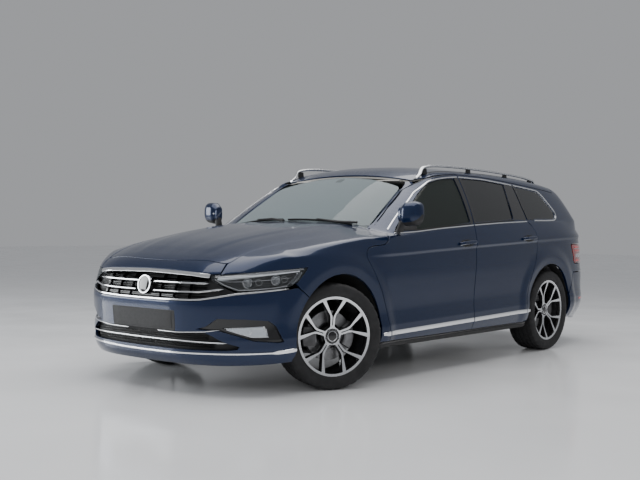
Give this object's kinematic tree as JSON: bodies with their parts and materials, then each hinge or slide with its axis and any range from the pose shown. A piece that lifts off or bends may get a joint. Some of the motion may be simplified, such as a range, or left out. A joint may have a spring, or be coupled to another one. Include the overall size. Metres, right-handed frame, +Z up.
{
  "type": "station wagon",
  "caption": "Mid-size station wagon with hinged doors, hood and tailgate, steered front wheels, rolling wheels, hollow cabin and load space.",
  "frame": {"origin": "centre of the overall box, on the ground under the tyres", "axes": "+X forward, +Y to the car's left, +Z up"},
  "size_m": [4.7701, 2.0744, 1.4992],
  "materials": {
    "paint": "gloss metallic",
    "glass": "clear",
    "dark_glass": "privacy tint",
    "lamp_glass": "clear",
    "tail_glass": "clear red",
    "black": "fine grain",
    "gloss_black": "gloss",
    "chrome": "polished",
    "satin": "satin",
    "rim": "machined and gloss black",
    "tyre": "moulded",
    "metal": "raw",
    "floor": "sealed",
    "trim": "soft grain",
    "seat": "grained",
    "carpet": "pile",
    "steel": "brushed"
  },
  "bodies": {
    "body": {"front_fenders": "paint", "windshield": "glass", "roof": "paint", "headlamps": "lamp_glass", "quarter_panels": "paint", "tail_lamps": "tail_glass", "quarter_windows": "dark_glass", "grille": "chrome", "lower_grille": "gloss_black", "front_bumper": "paint", "nose_panel": "paint", "rear_bumper": "paint", "door_pillars": "gloss_black", "floor_pan": "floor", "firewall": "floor", "front_wheelhouses": "black", "engine": "metal", "radiator": "metal", "boot_floor": "carpet", "dashboard": "trim", "front_seats": "seat", "rear_seat": "seat", "roof_rails": "satin", "front_suspension": "steel", "exhaust": "steel", "fuel_tank": "black", "rear_suspension": "steel"},
    "left_front_door": {"left_front_door": "paint", "left_front_window": "glass", "left_mirror": "paint"},
    "right_front_door": {"right_front_door": "paint", "right_front_window": "glass", "right_mirror": "paint"},
    "left_rear_door": {"left_rear_door": "paint", "left_rear_window": "dark_glass"},
    "right_rear_door": {"right_rear_door": "paint", "right_rear_window": "dark_glass"},
    "hood": {"hood": "paint"},
    "tailgate": {"tailgate": "paint", "rear_window": "dark_glass"},
    "steering_wheel": {"steering_wheel": "trim"},
    "left_knuckle": {"left_front_knuckle": "metal"},
    "right_knuckle": {"right_front_knuckle": "metal"},
    "left_front_wheel": {"left_front_tyre": "tyre", "left_front_rim": "rim"},
    "right_front_wheel": {"right_front_tyre": "tyre", "right_front_rim": "rim"},
    "left_rear_wheel": {"left_rear_tyre": "tyre", "left_rear_rim": "rim"},
    "right_rear_wheel": {"right_rear_tyre": "tyre", "right_rear_rim": "rim"}
  },
  "joints": [
    {"name": "left_front_door_hinge", "type": "hinge", "parent": "body", "child": "left_front_door", "pos_m": [1.262, 0.921, 0.6], "axis": [0, 0, -1], "range_deg": [0, 70]},
    {"name": "right_front_door_hinge", "type": "hinge", "parent": "body", "child": "right_front_door", "pos_m": [1.262, -0.921, 0.6], "axis": [0, 0, 1], "range_deg": [0, 70]},
    {"name": "left_rear_door_hinge", "type": "hinge", "parent": "body", "child": "left_rear_door", "pos_m": [-0.036, 0.921, 0.6], "axis": [0, 0, -1], "range_deg": [0, 70]},
    {"name": "right_rear_door_hinge", "type": "hinge", "parent": "body", "child": "right_rear_door", "pos_m": [-0.036, -0.921, 0.6], "axis": [0, 0, 1], "range_deg": [0, 70]},
    {"name": "hood_hinge", "type": "hinge", "parent": "body", "child": "hood", "pos_m": [0.89, 0, 1.056], "axis": [0, -1, 0], "range_deg": [0, 55]},
    {"name": "tailgate_hinge", "type": "hinge", "parent": "body", "child": "tailgate", "pos_m": [-1.662, 0, 1.452], "axis": [0, 1, 0], "range_deg": [0, 80]},
    {"name": "steer_left", "type": "hinge", "parent": "body", "child": "left_knuckle", "pos_m": [1.506, 0.732, 0.334], "axis": [0, 0, 1], "range_deg": [-10, 58]},
    {"name": "steer_right", "type": "hinge", "parent": "body", "child": "right_knuckle", "pos_m": [1.506, -0.732, 0.334], "axis": [0, 0, 1], "range_deg": [-10, 58]},
    {"name": "steering_wheel_turn", "type": "hinge", "parent": "body", "child": "steering_wheel", "pos_m": [0.455, 0.37, 0.912], "axis": [-0.9135, 0, 0.4067], "range_deg": [-140, 812]},
    {"name": "left_front_wheel_spin", "type": "hinge", "parent": "left_knuckle", "child": "left_front_wheel", "pos_m": [1.53069, 0.78668, 0.334], "axis": [0.4115, 0.9114, 0], "continuous": true},
    {"name": "right_front_wheel_spin", "type": "hinge", "parent": "right_knuckle", "child": "right_front_wheel", "pos_m": [1.48131, -0.78668, 0.334], "axis": [0.4115, 0.9114, 0], "continuous": true},
    {"name": "left_rear_wheel_spin", "type": "hinge", "parent": "body", "child": "left_rear_wheel", "pos_m": [-1.28, 0.784, 0.334], "axis": [0, 1, 0], "continuous": true},
    {"name": "right_rear_wheel_spin", "type": "hinge", "parent": "body", "child": "right_rear_wheel", "pos_m": [-1.28, -0.784, 0.334], "axis": [0, 1, 0], "continuous": true}
  ],
  "couplings": [
    {"joint": "steer_right", "follows": "steer_left", "ratio": 1},
    {"joint": "steering_wheel_turn", "follows": "steer_left", "ratio": 14}
  ]
}
